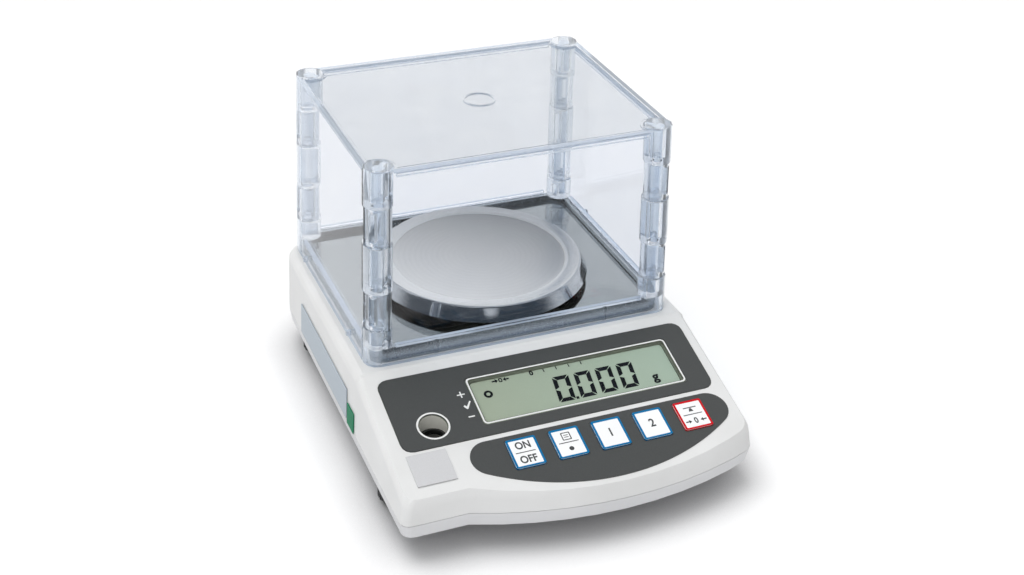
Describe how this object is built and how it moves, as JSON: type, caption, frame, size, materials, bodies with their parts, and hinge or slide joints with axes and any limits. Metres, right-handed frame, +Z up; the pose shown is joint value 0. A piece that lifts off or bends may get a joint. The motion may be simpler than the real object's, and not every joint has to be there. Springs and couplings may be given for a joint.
{
  "type": "precision balance",
  "caption": "Precision balance with a round weighing pan, a clear draught shield with a lift-out lid, a sloped display and key panel, a level vial and screw feet.",
  "frame": {"origin": "middle of the footprint on the plane the foot soles stand on", "axes": "+Z up, +Y from the key panel towards the rear sockets, +X to the user's right when facing the display"},
  "size_m": [0.1878, 0.239, 0.1653],
  "materials": {
    "housing": "fine matte",
    "clear": "clear polished",
    "steel": "satin",
    "aluminium": "machined",
    "brass": "turned",
    "rubber": "matte",
    "black_plastic": "matte",
    "overlay": "satin film",
    "keycap": "smooth",
    "lcd": "reflective liquid crystal",
    "board": "solder resist",
    "vial": "smooth",
    "label": "printed film",
    "seal": "printed film"
  },
  "bodies": {
    "case": {"upper_housing": "housing", "lower_housing": "housing", "chamber_floor": "steel", "load_spindle": "steel", "force_sensor": "aluminium", "sensor_frame": "aluminium", "main_board": "board", "key_board": "board", "switch_on_off": "black_plastic", "switch_print": "black_plastic", "switch_units": "black_plastic", "switch_function": "black_plastic", "switch_tare": "black_plastic", "lcd_holder": "black_plastic", "lcd_glass": "lcd", "display_window": "clear", "upper_overlay": "overlay", "key_overlay": "overlay", "level_vial": "vial", "level_lens": "clear", "capacity_sticker": "label", "side_label": "label", "side_seal": "seal", "power_socket": "black_plastic", "data_socket": "black_plastic", "foot_insert_front_left": "brass", "foot_insert_front_right": "brass", "foot_insert_rear_left": "brass", "foot_insert_rear_right": "brass", "case_screw_front_left": "steel", "case_screw_front_right": "steel", "case_screw_rear_left": "steel", "case_screw_rear_right": "steel"},
    "support": {"pan_support": "aluminium", "pan_pad_a": "rubber", "pan_pad_b": "rubber", "pan_pad_c": "rubber", "pan_pad_d": "rubber"},
    "pan": {"weighing_pan": "steel"},
    "on_off": {"key_on_off": "keycap"},
    "print": {"key_print": "keycap"},
    "units": {"key_units": "keycap"},
    "function": {"key_function": "keycap"},
    "tare": {"key_tare": "keycap"},
    "shield": {"shield_front": "clear", "shield_back": "clear", "shield_left": "clear", "shield_right": "clear"},
    "lid": {"shield_lid": "clear"},
    "sole_front_left": {"foot_sole_front_left": "rubber"},
    "knob_front_left": {"foot_knob_front_left": "black_plastic"},
    "sole_front_right": {"foot_sole_front_right": "rubber"},
    "knob_front_right": {"foot_knob_front_right": "black_plastic"},
    "sole_rear_left": {"foot_sole_rear_left": "rubber"},
    "knob_rear_left": {"foot_knob_rear_left": "black_plastic"},
    "sole_rear_right": {"foot_sole_rear_right": "rubber"},
    "knob_rear_right": {"foot_knob_rear_right": "black_plastic"}
  },
  "joints": [
    {"name": "support_lift", "type": "slide", "parent": "case", "child": "support", "axis": [0, 0, 1], "range_m": [0, 0.03]},
    {"name": "pan_lift", "type": "slide", "parent": "support", "child": "pan", "axis": [0, 0, 1], "range_m": [0, 0.05]},
    {"name": "on_off_press", "type": "slide", "parent": "case", "child": "on_off", "axis": [0, 0.2807, -0.9598], "range_m": [0, 0.0004], "stiffness_N_per_m": 1500, "springref_m": -0.0005},
    {"name": "print_press", "type": "slide", "parent": "case", "child": "print", "axis": [0, 0.2807, -0.9598], "range_m": [0, 0.0004], "stiffness_N_per_m": 1500, "springref_m": -0.0005},
    {"name": "units_press", "type": "slide", "parent": "case", "child": "units", "axis": [0, 0.2807, -0.9598], "range_m": [0, 0.0004], "stiffness_N_per_m": 1500, "springref_m": -0.0005},
    {"name": "function_press", "type": "slide", "parent": "case", "child": "function", "axis": [0, 0.2807, -0.9598], "range_m": [0, 0.0004], "stiffness_N_per_m": 1500, "springref_m": -0.0005},
    {"name": "tare_press", "type": "slide", "parent": "case", "child": "tare", "axis": [0, 0.2807, -0.9598], "range_m": [0, 0.0004], "stiffness_N_per_m": 1500, "springref_m": -0.0005},
    {"name": "shield_lift", "type": "slide", "parent": "case", "child": "shield", "axis": [0, 0, 1], "range_m": [0, 0.12]},
    {"name": "lid_lift", "type": "slide", "parent": "shield", "child": "lid", "axis": [0, 0, 1], "range_m": [0, 0.06]},
    {"name": "front_left_height", "type": "slide", "parent": "case", "child": "sole_front_left", "axis": [0, 0, -1], "range_m": [-0.002, 0.003]},
    {"name": "front_left_turn", "type": "hinge", "parent": "sole_front_left", "child": "knob_front_left", "pos_m": [-0.0805, -0.0555, 0.006], "axis": [0, 0, -1], "range_deg": [-720, 1080]},
    {"name": "front_right_height", "type": "slide", "parent": "case", "child": "sole_front_right", "axis": [0, 0, -1], "range_m": [-0.002, 0.003]},
    {"name": "front_right_turn", "type": "hinge", "parent": "sole_front_right", "child": "knob_front_right", "pos_m": [0.0805, -0.0555, 0.006], "axis": [0, 0, -1], "range_deg": [-720, 1080]},
    {"name": "rear_left_height", "type": "slide", "parent": "case", "child": "sole_rear_left", "axis": [0, 0, -1], "range_m": [-0.002, 0.003]},
    {"name": "rear_left_turn", "type": "hinge", "parent": "sole_rear_left", "child": "knob_rear_left", "pos_m": [-0.078, 0.088, 0.006], "axis": [0, 0, -1], "range_deg": [-720, 1080]},
    {"name": "rear_right_height", "type": "slide", "parent": "case", "child": "sole_rear_right", "axis": [0, 0, -1], "range_m": [-0.002, 0.003]},
    {"name": "rear_right_turn", "type": "hinge", "parent": "sole_rear_right", "child": "knob_rear_right", "pos_m": [0.078, 0.088, 0.006], "axis": [0, 0, -1], "range_deg": [-720, 1080]}
  ],
  "couplings": [
    {"joint": "front_left_turn", "follows": "front_left_height", "rad_per_m": 6283.2},
    {"joint": "front_right_turn", "follows": "front_right_height", "rad_per_m": 6283.2},
    {"joint": "rear_left_turn", "follows": "rear_left_height", "rad_per_m": 6283.2},
    {"joint": "rear_right_turn", "follows": "rear_right_height", "rad_per_m": 6283.2}
  ]
}
